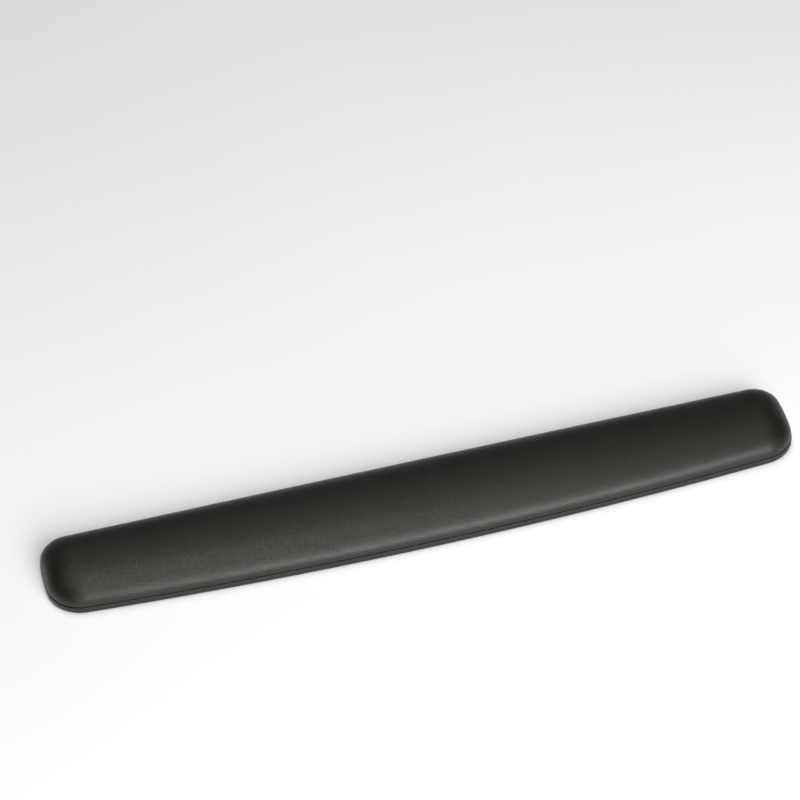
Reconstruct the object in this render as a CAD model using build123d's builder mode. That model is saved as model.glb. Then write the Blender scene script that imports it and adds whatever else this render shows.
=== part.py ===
from build123d import *

import os
from math import cos, hypot, radians, sin

# Gel wrist rest for a full-size keyboard, in millimetres.
# A low, long pad: a leatherette cover drawn over a gel bladder, round a moulded base and under its edge.
# The frame stands at the centre of the footprint: +X along the length, +Y towards the keyboard, +Z up.
# The desk is z = 0.

# Outside size
LENGTH = 482.6
DEPTH = 69.85
HEIGHT = 19.05

# Plan outline: a bowed front, a nearly straight back and slightly bowed ends
FRONT_BOW_RADIUS = 2830.0
BACK_BOW_RADIUS = 24000.0
END_BOW_RISE = 7.6
FRONT_CORNER_SETBACK = 4.2
BACK_CORNER_SETBACK = 1.4
FRONT_CORNER_RADIUS = 23.5
BACK_CORNER_RADIUS = 16.7

# Layers, from the desk up
NON_SKID = 0.6
ADHESIVE = 0.15
COVER = 0.9
HEM_TAPE = 0.15
BASE_TOP = 4.9
PAD_TAPE = 0.2
FILM = 0.3
FOAM = 1.5

# Edges of the layers, measured in from the plan outline's long sides
NON_SKID_INSET = 2.5
SHEET_ADHESIVE_INSET = 3.5
HEM_WIDTH = 10.0
HEM_TAPE_OUTER_INSET = 2.0
HEM_TAPE_INNER_INSET = 9.4
WELD_INSET = 2.2
CREASE_INSET = 0.8

# Strips of tape that hold the gel pad down
PAD_TAPE_LENGTH = 420.0
PAD_TAPE_WIDTH = 10.0
PAD_TAPE_PITCH = 17.0
PAD_TAPE_COUNT = 3

# Base moulding
SHOULDER_Z = 4.0
LAND_INSET = 10.2
POCKET_INSET = 13.2
BASE_SKIN = 1.6
RIB = 1.4
RIB_PITCH = 24.0
RIB_COUNT = 19
EDGE_ROUND = 0.6
CREASE_ROUND = 0.25
NON_SKID_ROUND = 0.3
ROUND_ANGLES = (0, 30, 60, 90)

# Crown: a superellipse that springs from just above the crease, with a shorter run at the ends
CREASE_RISE = 0.4
CREASE_FLARE = 0.35
BULGE_INSET = 0.25
SPRING_Z = 5.9
CROWN_POWER = 2.5
END_RUN = 20.5
END_POWER = 2.1
CROWN_ANGLES = (10, 20, 31, 43, 55, 66, 75, 82)
CROWN_FLAT_INSET = 30.5
GEL_FOOT_INSET = 4.4

# Heights that follow
HEM_Z = NON_SKID + ADHESIVE
HEM_TAPE_Z = HEM_Z + COVER
BASE_Z = HEM_TAPE_Z + HEM_TAPE
LOWER_FILM_Z = BASE_TOP + PAD_TAPE
GEL_Z = LOWER_FILM_Z + FILM
FLANGE_TOP = GEL_Z + FILM
DECK_INSET = COVER + CREASE_INSET

HALF_DEPTH = DEPTH / 2


def end_inset(inset):
    """How far in an end lies where the sides lie `inset` in, which makes the crown steeper at its ends."""
    height = 1 - (1 - inset / HALF_DEPTH) ** CROWN_POWER
    return END_RUN * (1 - (1 - height ** (END_POWER / CROWN_POWER)) ** (1 / END_POWER))


def outline(inset, z):
    """The plan outline `inset` inside the edge, at height z. Bows and corners fade towards the spine."""
    share = 1 - inset / HALF_DEPTH
    rest = 1 - share
    front_bow = ((1 + share) / FRONT_BOW_RADIUS - rest / BACK_BOW_RADIUS) / 4
    back_bow = (rest / FRONT_BOW_RADIUS - (1 + share) / BACK_BOW_RADIUS) / 4

    def front(x):
        return -share * HALF_DEPTH + front_bow * x * x

    def back(x):
        return share * HALF_DEPTH + back_bow * x * x

    end_x = LENGTH / 2 - end_inset(inset)
    front_x = end_x - share * FRONT_CORNER_SETBACK
    back_x = end_x - share * BACK_CORNER_SETBACK
    end_y = (front(front_x) + back(back_x)) / 2 + share * END_BOW_RISE
    with BuildSketch(Plane.XY.offset(z)) as plan:
        with BuildLine():
            ThreePointArc((-front_x, front(front_x)), (0, front(0)), (front_x, front(front_x)))
            ThreePointArc((front_x, front(front_x)), (end_x, end_y), (back_x, back(back_x)))
            ThreePointArc((back_x, back(back_x)), (0, back(0)), (-back_x, back(back_x)))
            ThreePointArc((-back_x, back(back_x)), (-end_x, end_y), (-front_x, front(front_x)))
        make_face()
        back_corners = plan.vertices().sort_by(Axis.Y)[-2:]
        fillet(back_corners, share * BACK_CORNER_RADIUS)
        front_corners = plan.vertices().sort_by(Axis.Y)[:2]
        fillet(front_corners, share * FRONT_CORNER_RADIUS)
    return plan.sketch


def crown_profile(depth):
    """(inset, z) points of the surface `depth` inside the crown, from its spring line to its flat top."""
    rise, run = HEIGHT - SPRING_Z, HALF_DEPTH - BULGE_INSET

    def point(angle):
        across = 1 - cos(radians(angle)) ** (2 / CROWN_POWER)
        return BULGE_INSET + run * across, SPRING_Z + rise * sin(radians(angle)) ** (2 / CROWN_POWER)

    points = [(BULGE_INSET + depth, SPRING_Z)]
    for angle in CROWN_ANGLES:
        (d0, z0), (d1, z1) = point(angle - 0.1), point(angle + 0.1)
        d, z = point(angle)
        step = hypot(d1 - d0, z1 - z0)
        points.append((d + depth * (z1 - z0) / step, z - depth * (d1 - d0) / step))
    points.append((CROWN_FLAT_INSET, HEIGHT - depth))
    return points


def crown(depth, foot):
    """The closed dome `depth` inside the crown. `foot` lists the (inset, z) points below its spring line."""
    with BuildPart() as dome:
        for inset, z in [*foot, *crown_profile(depth)]:
            add(outline(inset, z))
        loft()
    return dome.part


def stack(sections):
    """A layer whose edge runs straight between the (inset, z) points, from the lowest up."""
    with BuildPart() as layer:
        for inset, z in sections:
            add(outline(inset, z))
        loft(ruled=True)
    return layer.part


def slab(inset, low, high):
    """A flat layer with an upright edge."""
    return stack([(inset, low), (inset, high)])


def rounded_edge(inset, z, radius, toward):
    """(inset, z) points of a quarter round that meets an upright edge at `inset` and ends at height z."""
    turns = [(radius * (1 - cos(radians(a))), radius * (1 - sin(radians(a)))) for a in ROUND_ANGLES]
    return [(inset + across, z - toward * away) for across, away in turns]


def save(part, label):
    """Name a finished piece and write its STEP file."""
    part.label = label
    export_step(part, f"parts/{label}.step")


# Surfaces that neighbouring layers share
spring_foot = CREASE_INSET - CREASE_FLARE
outer_crown = crown(0, [(CREASE_INSET, BASE_TOP), (spring_foot, BASE_TOP + CREASE_RISE)])
under_cover = crown(COVER, [(DECK_INSET, BASE_TOP), (spring_foot + COVER, BASE_TOP + CREASE_RISE)])
under_foam = crown(COVER + FOAM, [(GEL_FOOT_INSET - FILM, FLANGE_TOP)])
gel_dome = crown(COVER + FOAM + FILM, [(GEL_FOOT_INSET + FILM, GEL_Z), (GEL_FOOT_INSET, FLANGE_TOP)])
band_foot = rounded_edge(0, HEM_Z, EDGE_ROUND, -1)[::-1]
outer_band = stack([*band_foot, *rounded_edge(0, BASE_TOP, CREASE_ROUND, 1)])
shoulder = rounded_edge(COVER, SHOULDER_Z, CREASE_INSET, 1)
base_block = stack([(COVER, BASE_Z), *shoulder, (DECK_INSET, BASE_TOP)])
base_land = slab(LAND_INSET, HEM_Z, BASE_Z)
under_flange = slab(0, BASE_TOP, FLANGE_TOP)
hem_space = slab(COVER, HEM_TAPE_Z, BASE_Z)
hem_opening = slab(HEM_WIDTH, HEM_Z, HEM_TAPE_Z)

os.makedirs("parts", exist_ok=True)

# The cover: crown, crease, side band and the hem turned under the base
with BuildPart() as leatherette_cover:
    add(outer_crown)
    add(outer_band)
    add(under_cover, mode=Mode.SUBTRACT)
    add(base_block, mode=Mode.SUBTRACT)
    add(hem_space, mode=Mode.SUBTRACT)
    add(hem_opening, mode=Mode.SUBTRACT)
save(leatherette_cover.part, "leatherette_cover")

# A thin foam under the cover, which stops at the weld flange of the gel bladder
with BuildPart() as foam_liner:
    add(under_cover)
    add(under_foam, mode=Mode.SUBTRACT)
    add(under_flange, mode=Mode.SUBTRACT)
save(foam_liner.part, "foam_liner")

# The gel bladder: two films welded together round a flat flange, and the gel that they hold
with BuildPart() as bladder_upper_film:
    add(under_foam)
    add(slab(WELD_INSET, GEL_Z, FLANGE_TOP))
    add(gel_dome, mode=Mode.SUBTRACT)
save(bladder_upper_film.part, "bladder_upper_film")

with BuildPart() as gel_core:
    add(gel_dome)
save(gel_core.part, "gel_core")

with BuildPart() as bladder_lower_film:
    add(slab(WELD_INSET, LOWER_FILM_Z, GEL_Z))
save(bladder_lower_film.part, "bladder_lower_film")

# Strips of double-sided tape between the bladder and the base
with BuildPart() as pad_tape:
    with BuildSketch(Plane.XY.offset(BASE_TOP)):
        with GridLocations(0, PAD_TAPE_PITCH, 1, PAD_TAPE_COUNT):
            Rectangle(PAD_TAPE_LENGTH, PAD_TAPE_WIDTH)
    extrude(amount=PAD_TAPE)
save(pad_tape.part, "pad_tape")

# The base moulding: a deck with a rounded shoulder, a rebate for the hem and ribbed pockets underneath
with BuildPart() as rib_pockets:
    add(slab(POCKET_INSET, HEM_Z, BASE_TOP - BASE_SKIN))
    with GridLocations(RIB_PITCH, 0, RIB_COUNT, 1):
        Box(RIB, DEPTH, HEIGHT, mode=Mode.SUBTRACT)
    Box(LENGTH, RIB, HEIGHT, mode=Mode.SUBTRACT)

with BuildPart() as base_tray:
    add(base_block)
    add(base_land)
    add(rib_pockets.part, mode=Mode.SUBTRACT)
save(base_tray.part, "base_tray")

# The tape ring that holds the hem in the rebate
with BuildPart() as hem_tape:
    add(slab(HEM_TAPE_OUTER_INSET, HEM_TAPE_Z, BASE_Z))
    add(slab(HEM_TAPE_INNER_INSET, HEM_TAPE_Z, BASE_Z), mode=Mode.SUBTRACT)
save(hem_tape.part, "hem_tape")

# The non-skid sheet over the hem and the base, and the adhesive that holds it
with BuildPart() as sheet_adhesive:
    add(slab(SHEET_ADHESIVE_INSET, NON_SKID, HEM_Z))
save(sheet_adhesive.part, "sheet_adhesive")

with BuildPart() as non_skid_sheet:
    lower_edge = rounded_edge(NON_SKID_INSET, 0, NON_SKID_ROUND, -1)[::-1]
    add(stack([*lower_edge, (NON_SKID_INSET, NON_SKID)]))
save(non_skid_sheet.part, "non_skid_sheet")
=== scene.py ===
"""Looks of the gel wrist rest, in metres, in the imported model's frame."""

from math import atan2, cos, hypot, pi, radians, sin, sqrt

import bmesh
import bpy
import numpy as np
from mathutils import Matrix, Vector


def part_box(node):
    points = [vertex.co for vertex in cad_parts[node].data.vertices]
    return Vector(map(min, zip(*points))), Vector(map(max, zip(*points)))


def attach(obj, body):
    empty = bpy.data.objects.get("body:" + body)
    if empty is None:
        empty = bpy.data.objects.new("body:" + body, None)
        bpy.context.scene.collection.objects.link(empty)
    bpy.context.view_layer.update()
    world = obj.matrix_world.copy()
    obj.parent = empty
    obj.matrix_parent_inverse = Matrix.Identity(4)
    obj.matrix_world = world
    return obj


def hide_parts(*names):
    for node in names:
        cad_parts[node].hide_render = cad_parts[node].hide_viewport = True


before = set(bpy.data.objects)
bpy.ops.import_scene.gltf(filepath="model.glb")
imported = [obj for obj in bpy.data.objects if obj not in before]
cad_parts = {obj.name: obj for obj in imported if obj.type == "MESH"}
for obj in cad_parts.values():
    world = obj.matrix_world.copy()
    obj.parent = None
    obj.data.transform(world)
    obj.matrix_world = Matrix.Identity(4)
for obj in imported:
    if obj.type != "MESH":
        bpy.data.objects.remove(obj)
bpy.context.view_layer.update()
MM = 0.001

# ---- Sizes that the frame gives ----
cover_low, cover_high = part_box("leatherette_cover")
sheet_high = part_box("non_skid_sheet")[1]
HALF_LENGTH = cover_high[0]
HALF_DEPTH = (cover_high[1] - cover_low[1]) / 2
MID_Y = (cover_high[1] + cover_low[1]) / 2
HEIGHT = cover_high[2]
HEM_Z = cover_low[2]
CREASE_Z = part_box("base_tray")[1][2]
SHEET_TOP = sheet_high[2]
SHEET_INSET = cover_high[1] - sheet_high[1]

# ---- Plan outline: a bowed front, a nearly straight back and slightly bowed ends ----
FRONT_BOW_RADIUS = 2830 * MM
BACK_BOW_RADIUS = 24000 * MM
END_BOW_RISE = 7.6 * MM
FRONT_CORNER_SETBACK = 4.2 * MM
BACK_CORNER_SETBACK = 1.4 * MM
FRONT_CORNER_RADIUS = 23.5 * MM
BACK_CORNER_RADIUS = 16.7 * MM

# ---- Cross-section of the cover ----
COVER_THICKNESS = 0.9 * MM
EDGE_ROUND = 0.6 * MM
CREASE_INSET = 0.8 * MM
CREASE_ROUND = 0.25 * MM
CREASE_STEP = 0.04 * MM
CREASE_RISE = 0.4 * MM
CREASE_FLARE = 0.35 * MM
BULGE_INSET = 0.25 * MM
SPRING_Z = 5.9 * MM
CROWN_POWER = 2.5
END_RUN = 20.5 * MM
END_POWER = 2.1
SHOULDER_Z = 4.0 * MM
HEM_WIDTH = 10 * MM
HEM_INSETS = (1.5 * MM, 2.5 * MM, 4 * MM, 7 * MM, HEM_WIDTH)
PLEAT_HEIGHT = 0.14 * MM
PLEATS_PER_CORNER = 6
PLEAT_SPREAD = 0.55      # share of a corner's steps over which the pleats fade

# ---- Mesh steps, from the middle of a long side to its corner, round a corner and along half an end ----
SIDE_STEPS, CORNER_STEPS, END_STEPS = 130, 18, 8
CROWN_ROWS = 42
CROWN_SPACING = 1.25
CROWN_END_ANGLE = 89.6
SPINE_SHARE = 0.985
ROUND_ANGLES = (0, 22.5, 45, 67.5, 90)

# ---- Swelling of the crown, by cloth simulation ----
CAGE_ROW_STEP, CAGE_COLUMN_STEP = 3, 2
SWELL_FRAMES = 20
SWELL_PRESSURE = 2.0
SWELL_STIFFNESS = 40.0
SHEAR_SHARE = 1 / 3
SWELL_BENDING = 0.4
SWELL_MASS = 0.25
SWELL_DAMPING = 8.0
SWELL_QUALITY = 8
SWELL_ROOM = 0.035       # share of the crown's rise that the sheet starts below it
SWELL_MOST = 0.5 * MM
SMOOTHING_PASSES = 3

# ---- Grip dots under the non-skid sheet ----
DOT_PITCH = 3.2 * MM
DOT_RADIUS = 1.05 * MM
DOT_HEIGHT = 0.2 * MM
DOT_SIDES = 8
DOT_SHAPE = ((1, 1.4), (0.92, 0.4), (0.6, 0))      # shares of the radius and the height, downwards
DOT_MARGIN = 2.2 * MM
SHEET_ROUND = 0.2 * MM


def circle_through(a, b, c):
    """Centre and radius of the circle through three points."""
    d = 2 * (a[0] * (b[1] - c[1]) + b[0] * (c[1] - a[1]) + c[0] * (a[1] - b[1]))
    sq = [p[0] ** 2 + p[1] ** 2 for p in (a, b, c)]
    x = (sq[0] * (b[1] - c[1]) + sq[1] * (c[1] - a[1]) + sq[2] * (a[1] - b[1])) / d
    y = (sq[0] * (c[0] - b[0]) + sq[1] * (a[0] - c[0]) + sq[2] * (b[0] - a[0])) / d
    return (x, y), hypot(a[0] - x, a[1] - y)


def blend_centre(one, two, radius, near, inside):
    """Centre of the circle that touches two circles near a point, on the `inside` point's side of both."""
    reaches = []
    for (x, y), r in (one, two):
        holds = hypot(inside[0] - x, inside[1] - y) < r
        reaches.append(r - radius if holds else r + radius)
    (x1, y1), (x2, y2) = one[0], two[0]
    r1, r2 = reaches
    gap = hypot(x2 - x1, y2 - y1)
    along = (r1 * r1 - r2 * r2 + gap * gap) / (2 * gap)
    across = sqrt(max(r1 * r1 - along * along, 0))
    ux, uy = (x2 - x1) / gap, (y2 - y1) / gap
    spots = [(x1 + along * ux - k * across * uy, y1 + along * uy + k * across * ux) for k in (1, -1)]
    return min(spots, key=lambda p: hypot(p[0] - near[0], p[1] - near[1]))


def touch_point(circle, centre):
    """Where a blend circle touches the larger circle round it."""
    (x, y), radius = circle
    away = hypot(centre[0] - x, centre[1] - y)
    return x + (centre[0] - x) * radius / away, y + (centre[1] - y) * radius / away


def arc(centre, start, end, steps):
    """Points along the short arc from start, without its end point."""
    a = atan2(start[1] - centre[1], start[0] - centre[0])
    turn = (atan2(end[1] - centre[1], end[0] - centre[0]) - a + pi) % (2 * pi) - pi
    radius = hypot(start[0] - centre[0], start[1] - centre[1])
    angles = [a + turn * i / steps for i in range(steps)]
    return [(centre[0] + radius * cos(t), centre[1] + radius * sin(t)) for t in angles]


def end_inset(inset):
    """How far in an end lies where the sides lie `inset` in, which makes the crown steeper at its ends."""
    height = 1 - (1 - inset / HALF_DEPTH) ** CROWN_POWER
    return END_RUN * (1 - (1 - height ** (END_POWER / CROWN_POWER)) ** (1 / END_POWER))


def outline(inset):
    """The plan outline `inset` inside the edge, anticlockwise from the middle of the front."""
    share = 1 - inset / HALF_DEPTH
    front_bow = ((1 + share) / FRONT_BOW_RADIUS - (1 - share) / BACK_BOW_RADIUS) / 4
    back_bow = ((1 - share) / FRONT_BOW_RADIUS - (1 + share) / BACK_BOW_RADIUS) / 4
    end_x = HALF_LENGTH - end_inset(inset)
    front_mid, back_mid = (0, -share * HALF_DEPTH), (0, share * HALF_DEPTH)
    front_x = end_x - share * FRONT_CORNER_SETBACK
    back_x = end_x - share * BACK_CORNER_SETBACK
    front_end = (front_x, front_mid[1] + front_bow * front_x**2)
    back_end = (back_x, back_mid[1] + back_bow * back_x**2)
    end = (end_x, (front_end[1] + back_end[1]) / 2 + share * END_BOW_RISE)
    front = circle_through((-front_x, front_end[1]), front_mid, front_end)
    back = circle_through((-back_x, back_end[1]), back_mid, back_end)
    side = circle_through(front_end, end, back_end)
    inside = (end_x - share * HALF_DEPTH, (front_end[1] + back_end[1]) / 2)
    low = blend_centre(front, side, share * FRONT_CORNER_RADIUS, front_end, inside)
    high = blend_centre(back, side, share * BACK_CORNER_RADIUS, back_end, inside)
    stops = [
        (front[0], front_mid, SIDE_STEPS),
        (low, touch_point(front, low), CORNER_STEPS),
        (side[0], touch_point(side, low), END_STEPS),
        (side[0], end, END_STEPS),
        (high, touch_point(side, high), CORNER_STEPS),
        (back[0], touch_point(back, high), SIDE_STEPS),
        (None, back_mid, 0),
    ]
    right = []
    for (centre, begin, steps), (_, finish, _) in zip(stops, stops[1:]):
        right += arc(centre, begin, finish, steps)
    right.append(back_mid)
    left = [(-x, y) for x, y in right[-2:0:-1]]
    return right + left


def quarter_round(radius, angles):
    """(across, along) offsets round a quarter circle that starts square to the wall."""
    return [(radius * (1 - cos(radians(a))), radius * (1 - sin(radians(a)))) for a in angles]


def ring_points(profile):
    """rings[row][column]: the outline at each (inset, z) point of the profile."""
    return np.array([[(x, MID_Y + y, z) for x, y in outline(inset)] for inset, z in profile])


def spine_faces(first, count, order):
    """A strip of faces that joins a ring's front to its back along the spine."""
    right_end = count // 4
    faces = []
    for k in range(count // 2):
        columns = (right_end + k, right_end + k + 1, right_end - k - 1, right_end - k)
        face = list(dict.fromkeys(first + c % count for c in columns))
        faces.append(tuple(face[::order]))
    return faces


def ring_mesh(name, rings, closed_below=False):
    """A mesh through the rings. The first ring is closed along the spine, and so is the last if asked."""
    rows, count = rings.shape[:2]
    faces = []
    for row in range(rows - 1):
        low, high = row * count, (row + 1) * count
        for i in range(count):
            j = (i + 1) % count
            faces.append((low + i, high + i, high + j, low + j))
    faces += spine_faces(0, count, 1)
    if closed_below:
        faces += spine_faces((rows - 1) * count, count, -1)
    mesh = bpy.data.meshes.new(name)
    mesh.from_pydata(rings.reshape(-1, 3).tolist(), [], faces)
    mesh.validate()
    mesh.shade_smooth()
    return mesh


def add_object(name, mesh, material=None):
    """Put a mesh in the scene as an object, with its material."""
    piece = bpy.data.objects.new(name, mesh)
    bpy.context.scene.collection.objects.link(piece)
    if material:
        mesh.materials.append(material)
    return piece


# ---- Materials; tones are (place on the ramp, linear colour) ----
LEATHER_TONES = ((0.3, (0.0080, 0.0068, 0.0056)), (0.7, (0.0104, 0.0090, 0.0076)))
LEATHER_SHEEN = (1.0, 0.995, 0.96, 1)
PEBBLE_SHARE, FINE_GRAIN_SHARE = -0.8, 0.25
RUBBER_TONES = ((0.35, (0.016, 0.016, 0.017)), (0.75, (0.027, 0.027, 0.028)))
FOAM_TONES = ((0.3, (0.05, 0.05, 0.054)), (0.7, (0.085, 0.085, 0.09)))
# painted shade for the foam's pits: the colour is darkest at each cell's centre, where the bump sinks
PIT_SHADE_TONES = ((0.05, (0.35, 0.35, 0.35)), (0.35, (1.0, 1.0, 1.0)))
FILM_TONES = ((0.3, (0.72, 0.76, 0.78)), (0.7, (0.82, 0.85, 0.86)))
GEL_TONES = ((0.3, (0.10, 0.22, 0.34)), (0.7, (0.16, 0.31, 0.44)))
TAPE_TONES = ((0.3, (0.62, 0.59, 0.52)), (0.7, (0.76, 0.74, 0.67)))
PLASTIC_TONES = ((0.3, (0.018, 0.018, 0.019)), (0.7, (0.026, 0.026, 0.027)))
PAPER_TONES = ((0.3, (0.92, 0.92, 0.92)), (0.7, (0.94, 0.94, 0.94)))


def new_material(name, roughness, specular=0.5):
    """An empty Principled material, with its shader and a function that adds and wires nodes."""
    material = bpy.data.materials.new(name)
    material.use_nodes = True
    tree = material.node_tree
    shader = next(n for n in tree.nodes if n.type == "BSDF_PRINCIPLED")
    shader.inputs["Roughness"].default_value = roughness
    shader.inputs["Specular IOR Level"].default_value = specular

    def node(kind, settings=None, **inputs):
        made = tree.nodes.new(kind)
        for key, value in (settings or {}).items():
            setattr(made, key, value)
        for key, value in inputs.items():
            socket = made.inputs[key.replace("_", " ")]
            if isinstance(value, bpy.types.NodeSocket):
                tree.links.new(value, socket)
            else:
                socket.default_value = value
        return made

    return material, tree, shader, node


def colour_ramp(tree, node, factor, stops):
    """The colour that a factor picks from a ramp of (place, colour) stops."""
    ramp = node("ShaderNodeValToRGB", Fac=factor)
    for i, (place, colour) in enumerate(stops):
        point = ramp.color_ramp.elements[i] if i < 2 else ramp.color_ramp.elements.new(place)
        point.position = place
        point.color = (*colour, 1)
    return ramp.outputs["Color"]


def add_bump(tree, node, shader, height, distance, strength):
    """Raise the surface by a height pattern."""
    bump = node("ShaderNodeBump", Height=height, Distance=distance, Strength=strength)
    tree.links.new(bump.outputs["Normal"], shader.inputs["Normal"])


def multiply_add(tree, node, value, factor, extra):
    """value x factor + extra, as a node."""
    sum_node = node("ShaderNodeMath", {"operation": "MULTIPLY_ADD"})
    tree.links.new(value, sum_node.inputs[0])
    sum_node.inputs[1].default_value = factor
    tree.links.new(extra, sum_node.inputs[2])
    return sum_node.outputs[0]


def leatherette_material():
    """Coated cloth: fine pebble grain in bump, faint mottling in colour and gloss."""
    material, tree, shader, node = new_material("leatherette_skin", 0.4, 0.5)
    shader.inputs["Specular Tint"].default_value = LEATHER_SHEEN
    place = node("ShaderNodeTexCoord").outputs["Object"]
    pebbles = node(
        "ShaderNodeTexVoronoi", {"feature": "SMOOTH_F1"}, Vector=place, Scale=1250.0, Smoothness=0.6
    )
    creases = node("ShaderNodeTexVoronoi", {"feature": "DISTANCE_TO_EDGE"}, Vector=place, Scale=820.0)
    mottle = node("ShaderNodeTexNoise", Vector=place, Scale=38.0, Detail=5.0, Roughness=0.6)
    fine = node("ShaderNodeTexNoise", Vector=place, Scale=2600.0, Detail=2.0)
    edge = node("ShaderNodeMapRange", Value=creases.outputs["Distance"], From_Max=0.12)
    grain = multiply_add(tree, node, pebbles.outputs["Distance"], PEBBLE_SHARE, edge.outputs["Result"])
    height = multiply_add(tree, node, fine.outputs["Fac"], FINE_GRAIN_SHARE, grain)
    add_bump(tree, node, shader, height, 0.07 * MM, 0.7)
    base = colour_ramp(tree, node, mottle.outputs["Fac"], LEATHER_TONES)
    tree.links.new(base, shader.inputs["Base Color"])
    worn = node("ShaderNodeTexNoise", Vector=place, Scale=430.0, Detail=3.0)
    gloss = node(
        "ShaderNodeMapRange", Value=worn.outputs["Fac"], From_Min=0.3, From_Max=0.7, To_Min=0.35, To_Max=0.47
    )
    tree.links.new(gloss.outputs["Result"], shader.inputs["Roughness"])
    return material


def rubber_material():
    """Matt black rubber, slightly dusty."""
    material, tree, shader, node = new_material("non_skid_rubber", 0.85, 0.3)
    place = node("ShaderNodeTexCoord").outputs["Object"]
    dust = node("ShaderNodeTexNoise", Vector=place, Scale=60.0, Detail=6.0)
    skin = node("ShaderNodeTexNoise", Vector=place, Scale=3500.0, Detail=2.0)
    colour = colour_ramp(tree, node, dust.outputs["Fac"], RUBBER_TONES)
    tree.links.new(colour, shader.inputs["Base Color"])
    add_bump(tree, node, shader, skin.outputs["Fac"], 0.03 * MM, 0.6)
    return material


def foam_material():
    """Open-cell foam: dark grey, pitted by small cells, with painted shade darkening each pit."""
    material, tree, shader, node = new_material("liner_foam_cells", 0.95, 0.2)
    place = node("ShaderNodeTexCoord").outputs["Object"]
    cells = node("ShaderNodeTexVoronoi", Vector=place, Scale=1400.0)
    cloud = node("ShaderNodeTexNoise", Vector=place, Scale=45.0, Detail=4.0)
    colour = colour_ramp(tree, node, cloud.outputs["Fac"], FOAM_TONES)
    # painted shade: the foam's colour is multiplied darker in each cell's pit
    pit_shade = colour_ramp(tree, node, cells.outputs["Distance"], PIT_SHADE_TONES)
    mix = node("ShaderNodeMix", {"data_type": "RGBA", "blend_type": "MULTIPLY"})
    mix.inputs["Factor"].default_value = 0.7
    first_colour, second_colour = mix.inputs[6], mix.inputs[7]
    tree.links.new(colour, first_colour)
    tree.links.new(pit_shade, second_colour)
    tree.links.new(mix.outputs[2], shader.inputs["Base Color"])
    add_bump(tree, node, shader, cells.outputs["Distance"], 0.15 * MM, 0.7)
    return material


def film_material():
    """Clear polyurethane film with a matt emboss."""
    material, tree, shader, node = new_material("bladder_film_clear", 0.35, 0.5)
    shader.inputs["Transmission Weight"].default_value = 0.85
    shader.inputs["IOR"].default_value = 1.5
    place = node("ShaderNodeTexCoord").outputs["Object"]
    haze = node("ShaderNodeTexNoise", Vector=place, Scale=80.0, Detail=3.0)
    emboss = node("ShaderNodeTexVoronoi", Vector=place, Scale=900.0)
    colour = colour_ramp(tree, node, haze.outputs["Fac"], FILM_TONES)
    tree.links.new(colour, shader.inputs["Base Color"])
    add_bump(tree, node, shader, emboss.outputs["Distance"], 0.03 * MM, 0.4)
    return material


def gel_material():
    """Soft translucent gel with small trapped bubbles."""
    material, tree, shader, node = new_material("gel_translucent", 0.22, 0.5)
    shader.inputs["Transmission Weight"].default_value = 0.55
    shader.inputs["IOR"].default_value = 1.45
    place = node("ShaderNodeTexCoord").outputs["Object"]
    depth = node("ShaderNodeTexNoise", Vector=place, Scale=22.0, Detail=3.0)
    bubbles = node("ShaderNodeTexVoronoi", {"feature": "SMOOTH_F1"}, Vector=place, Scale=260.0)
    colour = colour_ramp(tree, node, depth.outputs["Fac"], GEL_TONES)
    tree.links.new(colour, shader.inputs["Base Color"])
    add_bump(tree, node, shader, bubbles.outputs["Distance"], 0.1 * MM, 0.25)
    return material


def tape_material():
    """Off-white tape with paper fibres."""
    material, tree, shader, node = new_material("tape_paper", 0.8, 0.3)
    place = node("ShaderNodeTexCoord").outputs["Object"]
    fibres = node("ShaderNodeTexNoise", Vector=place, Scale=700.0, Detail=5.0, Distortion=1.5)
    colour = colour_ramp(tree, node, fibres.outputs["Fac"], TAPE_TONES)
    tree.links.new(colour, shader.inputs["Base Color"])
    add_bump(tree, node, shader, fibres.outputs["Fac"], 0.03 * MM, 0.5)
    return material


def base_plastic_material():
    """Moulded plastic with a fine spark-eroded texture."""
    material, tree, shader, node = new_material("base_moulded_plastic", 0.55, 0.45)
    place = node("ShaderNodeTexCoord").outputs["Object"]
    spark = node("ShaderNodeTexNoise", Vector=place, Scale=1800.0, Detail=3.0)
    flow = node("ShaderNodeTexNoise", Vector=place, Scale=25.0, Detail=3.0)
    colour = colour_ramp(tree, node, flow.outputs["Fac"], PLASTIC_TONES)
    tree.links.new(colour, shader.inputs["Base Color"])
    add_bump(tree, node, shader, spark.outputs["Fac"], 0.05 * MM, 0.6)
    return material


def dress_hidden_pieces():
    """Better materials for the CAD pieces that stay inside the cover."""
    finishes = {
        "foam_liner": foam_material(),
        "bladder_upper_film": film_material(),
        "gel_core": gel_material(),
        "pad_tape": tape_material(),
        "base_tray": base_plastic_material(),
    }
    finishes["bladder_lower_film"] = finishes["bladder_upper_film"]
    finishes["hem_tape"] = finishes["sheet_adhesive"] = finishes["pad_tape"]
    for name, material in finishes.items():
        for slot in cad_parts[name].material_slots:
            slot.material = material


# ---- The cover ----
def crown_points():
    """(inset, z) points down the crown, a superellipse from the spine to its spring line."""
    rise, run = HEIGHT - SPRING_Z, HALF_DEPTH - BULGE_INSET
    points = []
    for row in range(CROWN_ROWS, -1, -1):
        angle = radians(CROWN_END_ANGLE * (row / CROWN_ROWS) ** CROWN_SPACING)
        across = 1 - cos(angle) ** (2 / CROWN_POWER)
        points.append((BULGE_INSET + run * across, SPRING_Z + rise * sin(angle) ** (2 / CROWN_POWER)))
    return points


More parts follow.
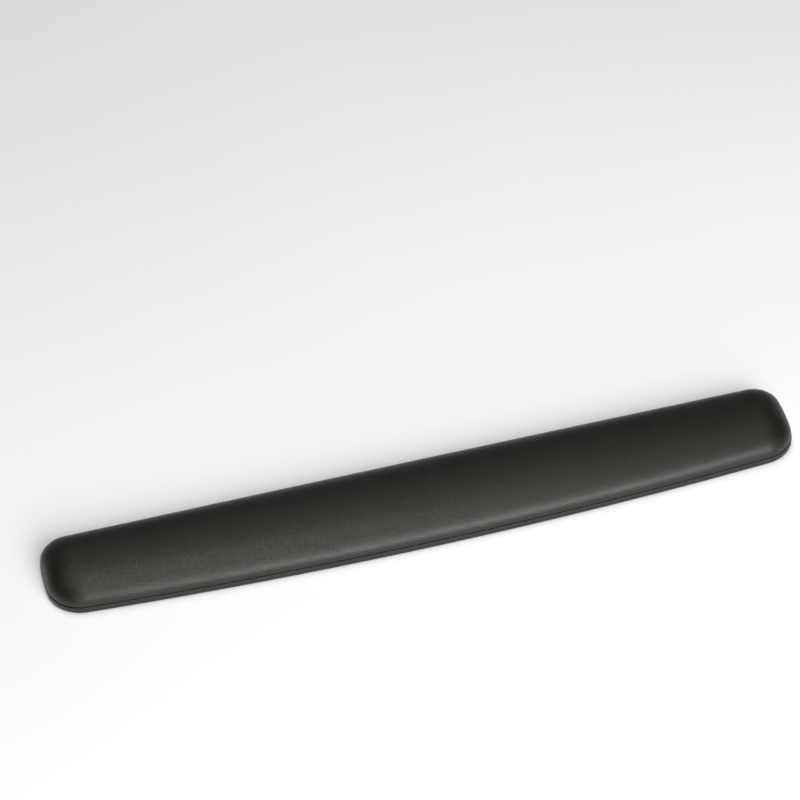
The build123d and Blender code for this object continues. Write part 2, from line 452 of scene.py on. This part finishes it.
def cover_profile():
    """(inset, z) points round the skin: down the outside to the hem's edge and back up the inside."""
    crown = crown_points()
    under_crown = []
    for (d0, z0), (d, z), (d1, z1) in zip([crown[0], *crown], crown, [*crown[1:], crown[-1]]):
        step = hypot(d1 - d0, z1 - z0)
        under_inset = d + COVER_THICKNESS * (z0 - z1) / step
        under_z = z + COVER_THICKNESS * (d1 - d0) / step
        under_crown.append((min(under_inset, HALF_DEPTH * SPINE_SHARE), under_z))
    outside = crown + [
        (CREASE_INSET - CREASE_FLARE, CREASE_Z + CREASE_RISE),
        (CREASE_INSET, CREASE_Z + CREASE_STEP),
        (CREASE_INSET, CREASE_Z),
        (CREASE_INSET - CREASE_STEP, CREASE_Z),
        (CREASE_ROUND + CREASE_STEP, CREASE_Z),
    ]
    outside += [(a, CREASE_Z - b) for a, b in quarter_round(CREASE_ROUND, ROUND_ANGLES[::-1])]
    outside += [(a, HEM_Z + b) for a, b in quarter_round(EDGE_ROUND, ROUND_ANGLES)]
    outside += [(d, HEM_Z) for d in HEM_INSETS]
    inside = [
        (HEM_WIDTH, HEM_Z + COVER_THICKNESS),
        (COVER_THICKNESS, HEM_Z + COVER_THICKNESS),
        (COVER_THICKNESS, SHOULDER_Z - CREASE_INSET),
        (COVER_THICKNESS + CREASE_INSET, SHOULDER_Z),
        (COVER_THICKNESS + CREASE_INSET, CREASE_Z),
        (COVER_THICKNESS + CREASE_INSET - CREASE_FLARE, CREASE_Z + CREASE_RISE),
    ]
    return outside + inside + under_crown[::-1]


def swell(rings):
    """Let a sheet of cloth swell over the gel, held round the spring line, and return how each point moved.

    rings[row][column] are the crown's points. The sheet is coarser, so its movement is spread between them.
    """
    coarse = rings[::CAGE_ROW_STEP, ::CAGE_COLUMN_STEP].copy()
    coarse[:, :, 2] -= (coarse[:, :, 2] - SPRING_Z) * SWELL_ROOM
    high, wide = coarse.shape[:2]
    sheet = add_object("swell_sheet", ring_mesh("swell_sheet", coarse))
    held = sheet.vertex_groups.new(name="held")
    held.add(list(range((high - 1) * wide, high * wide)), 1.0, "REPLACE")
    cloth = sheet.modifiers.new("cloth", "CLOTH")
    cloth.settings.quality = SWELL_QUALITY
    cloth.settings.mass = SWELL_MASS
    cloth.settings.tension_stiffness = SWELL_STIFFNESS
    cloth.settings.compression_stiffness = SWELL_STIFFNESS
    cloth.settings.shear_stiffness = SWELL_STIFFNESS * SHEAR_SHARE
    cloth.settings.bending_stiffness = SWELL_BENDING
    cloth.settings.air_damping = SWELL_DAMPING
    cloth.settings.use_pressure = True
    cloth.settings.uniform_pressure_force = SWELL_PRESSURE
    cloth.settings.vertex_group_mass = "held"
    cloth.settings.effector_weights.gravity = 0
    for frame_number in range(1, SWELL_FRAMES + 1):
        bpy.context.scene.frame_set(frame_number)
    shown = sheet.evaluated_get(bpy.context.evaluated_depsgraph_get())
    moved = np.array([v.co for v in shown.data.vertices]).reshape(high, wide, 3) - coarse
    bpy.data.objects.remove(sheet)
    bpy.context.scene.frame_set(1)
    moved *= SWELL_MOST / np.linalg.norm(moved, axis=2).max()
    moved = resample(moved, 0, rings.shape[0], CAGE_ROW_STEP)
    moved = resample(np.concatenate([moved, moved[:, :1]], axis=1), 1, rings.shape[1], CAGE_COLUMN_STEP)
    for _ in range(SMOOTHING_PASSES):
        moved = (np.roll(moved, 1, axis=1) + 2 * moved + np.roll(moved, -1, axis=1)) / 4
        moved[1:-1] = (moved[:-2] + 2 * moved[1:-1] + moved[2:]) / 4
    moved[:, :, 2] -= (rings[:, :, 2] - SPRING_Z) * SWELL_ROOM
    return moved


def resample(field, axis, count, step):
    """Spread a coarse field of movements over `count` points along one axis."""
    place = np.arange(count) / step
    low = np.minimum(place.astype(int), field.shape[axis] - 2)
    share = (place - low).reshape((-1, 1, 1) if axis == 0 else (1, -1, 1))
    return np.take(field, low, axis) * (1 - share) + np.take(field, low + 1, axis) * share


def gather_hem(rings, first_row, last_row):
    """Small pleats where the hem turns under round the four corners."""
    count = rings.shape[1]
    right = SIDE_STEPS + CORNER_STEPS / 2
    rear = right + CORNER_STEPS + 2 * END_STEPS
    middles = (right, rear, count - rear, count - right)
    column = np.arange(count)
    for middle in middles:
        near = np.exp(-(((column - middle) / (CORNER_STEPS * PLEAT_SPREAD)) ** 4))
        fold = 0.5 + 0.5 * np.cos((column - middle) * 2 * pi * PLEATS_PER_CORNER / CORNER_STEPS)
        for row in range(first_row, last_row):
            rings[row, :, 2] += PLEAT_HEIGHT * near * fold


def make_cover():
    """The leatherette skin: a closed shell whose crown is swollen and whose hem is pleated at the corners."""
    profile = cover_profile()
    rings = ring_points(profile)
    crown_rows = CROWN_ROWS + 1
    moved = swell(rings[:crown_rows])
    rings[:crown_rows] += moved
    rings[len(profile) - crown_rows:] += moved[::-1]
    hem_start = profile.index((HEM_INSETS[0], HEM_Z)) - 1
    gather_hem(rings, hem_start, hem_start + len(HEM_INSETS))
    mesh = ring_mesh("leatherette_cover_skin", rings, closed_below=True)
    piece = add_object("leatherette_cover_skin", mesh, leatherette_material())
    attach(piece, "root")
    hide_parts("leatherette_cover")


# ---- The non-skid sheet ----
def dot_places():
    """Centres of the grip dots, in staggered rows that stay clear of the sheet's edge."""
    edge = outline(SHEET_INSET + DOT_MARGIN)
    places = []
    row_gap = DOT_PITCH * sqrt(3) / 2
    rows = int(HALF_DEPTH / row_gap)
    columns = int(HALF_LENGTH / DOT_PITCH)
    for row in range(-rows, rows + 1):
        y = row * row_gap
        crossings = sorted(
            x0 + (y - y0) * (x1 - x0) / (y1 - y0)
            for (x0, y0), (x1, y1) in zip(edge, edge[1:] + edge[:1])
            if (y0 <= y) != (y1 <= y)
        )
        for column in range(-columns, columns + 1):
            x = (column + (row % 2) / 2) * DOT_PITCH
            if sum(c < x for c in crossings) % 2 == 1:
                places.append((x, y + MID_Y))
    return places


def make_sheet():
    """The rubber sheet underneath, with its raised dots."""
    profile = [
        (HALF_DEPTH * SPINE_SHARE, SHEET_TOP),
        (SHEET_INSET, SHEET_TOP),
        (SHEET_INSET, DOT_HEIGHT + SHEET_ROUND),
        (SHEET_INSET + SHEET_ROUND, DOT_HEIGHT),
        (HALF_DEPTH * SPINE_SHARE, DOT_HEIGHT),
    ]
    mesh = ring_mesh("non_skid_sheet_dotted", ring_points(profile), closed_below=True)
    build = bmesh.new()
    build.from_mesh(mesh)
    steps = [(DOT_RADIUS * wide, DOT_HEIGHT * up) for wide, up in DOT_SHAPE]
    turns = [2 * pi * i / DOT_SIDES for i in range(DOT_SIDES)]
    for x, y in dot_places():
        loops = [[build.verts.new((x + r * cos(t), y + r * sin(t), z)) for t in turns] for r, z in steps]
        build.faces.new(loops[0])
        build.faces.new(loops[-1][::-1])
        for upper, lower in zip(loops, loops[1:]):
            for i in range(DOT_SIDES):
                j = (i + 1) % DOT_SIDES
                build.faces.new((upper[j], upper[i], lower[i], lower[j]))
    build.to_mesh(mesh)
    build.free()
    piece = add_object("non_skid_sheet_dotted", mesh, rubber_material())
    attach(piece, "root")
    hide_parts("non_skid_sheet")


# ---- Studio ----
CAMERA_PLACE = (-0.24485, -1.19088, 1.20775)
CAMERA_AIM = (0.00992, 0.10302, -0.00042)
CAMERA_ROLL = -4.361
CAMERA_LENS = 122.66
LIGHT_DISTANCE = 2.4
FLOOR_REACH = 4.0
FLOOR_GAP = 0.05 * MM
ROOM_LIGHT = 0.006
BACKDROP_LIGHT = 0.8


def make_camera():
    """A long lens from the front left and above."""
    data = bpy.data.cameras.new("camera")
    data.lens = CAMERA_LENS
    data.sensor_width = 36
    camera = bpy.data.objects.new("camera", data)
    bpy.context.scene.collection.objects.link(camera)
    look = (Vector(CAMERA_AIM) - Vector(CAMERA_PLACE)).to_track_quat("-Z", "Y")
    turn = look.to_matrix().to_4x4() @ Matrix.Rotation(radians(CAMERA_ROLL), 4, "Z")
    camera.matrix_world = Matrix.Translation(CAMERA_PLACE) @ turn
    bpy.context.scene.camera = camera


def area_light(name, elevation, azimuth, size, power, colour=(1, 1, 1)):
    """A soft box aimed at the rest; the azimuth is measured from the front, positive to the right."""
    data = bpy.data.lights.new(name, "AREA")
    data.shape = "RECTANGLE"
    data.size, data.size_y = size
    data.energy = power
    data.color = colour
    light = bpy.data.objects.new(name, data)
    bpy.context.scene.collection.objects.link(light)
    up, turn = radians(elevation), radians(azimuth)
    toward = Vector((cos(up) * sin(turn), -cos(up) * cos(turn), sin(up)))
    light.location = toward * LIGHT_DISTANCE
    light.rotation_euler = (-toward).to_track_quat("-Z", "Y").to_euler()


def make_floor():
    """Pale paper under the rest."""
    mesh = bpy.data.meshes.new("floor")
    corners = [(-FLOOR_REACH, -FLOOR_REACH, 0), (FLOOR_REACH, -FLOOR_REACH, 0)]
    corners += [(x, -y, 0) for x, y, _ in corners[::-1]]
    mesh.from_pydata(corners, [], [(0, 1, 2, 3)])
    material, tree, shader, node = new_material("floor_paper", 0.9, 0.1)
    place = node("ShaderNodeTexCoord").outputs["Object"]
    tooth = node("ShaderNodeTexNoise", Vector=place, Scale=3.0, Detail=2.0)
    colour = colour_ramp(tree, node, tooth.outputs["Fac"], PAPER_TONES)
    tree.links.new(colour, shader.inputs["Base Color"])
    floor = add_object("floor", mesh, material)
    floor.location.z = -FLOOR_GAP


def make_lights():
    """A dark room for the leather to reflect, which the camera sees as pale grey."""
    world = bpy.data.worlds.new("world")
    bpy.context.scene.world = world
    world.use_nodes = True
    tree = world.node_tree
    sky = tree.nodes["Background"]
    sky.inputs["Color"].default_value = (1, 1, 1, 1)
    path = tree.nodes.new("ShaderNodeLightPath")
    strength = tree.nodes.new("ShaderNodeMapRange")
    strength.inputs["To Min"].default_value = ROOM_LIGHT
    strength.inputs["To Max"].default_value = BACKDROP_LIGHT
    tree.links.new(path.outputs["Is Camera Ray"], strength.inputs["Value"])
    tree.links.new(strength.outputs["Result"], sky.inputs["Strength"])
    area_light("key", 28, 14, (1.8, 1.2), 56, (0.95, 0.985, 1.0))
    area_light("low_front", 9, 6, (1.4, 0.7), 11)
    area_light("upper_front", 52, 4, (1.3, 1.0), 14, (1.0, 1.0, 0.97))
    area_light("overhead", 86, 180, (0.9, 2.8), 31, (1.0, 1.0, 0.97))


make_cover()
make_sheet()
dress_hidden_pieces()
make_floor()
make_lights()
make_camera()
bpy.context.scene.view_settings.view_transform = "Standard"
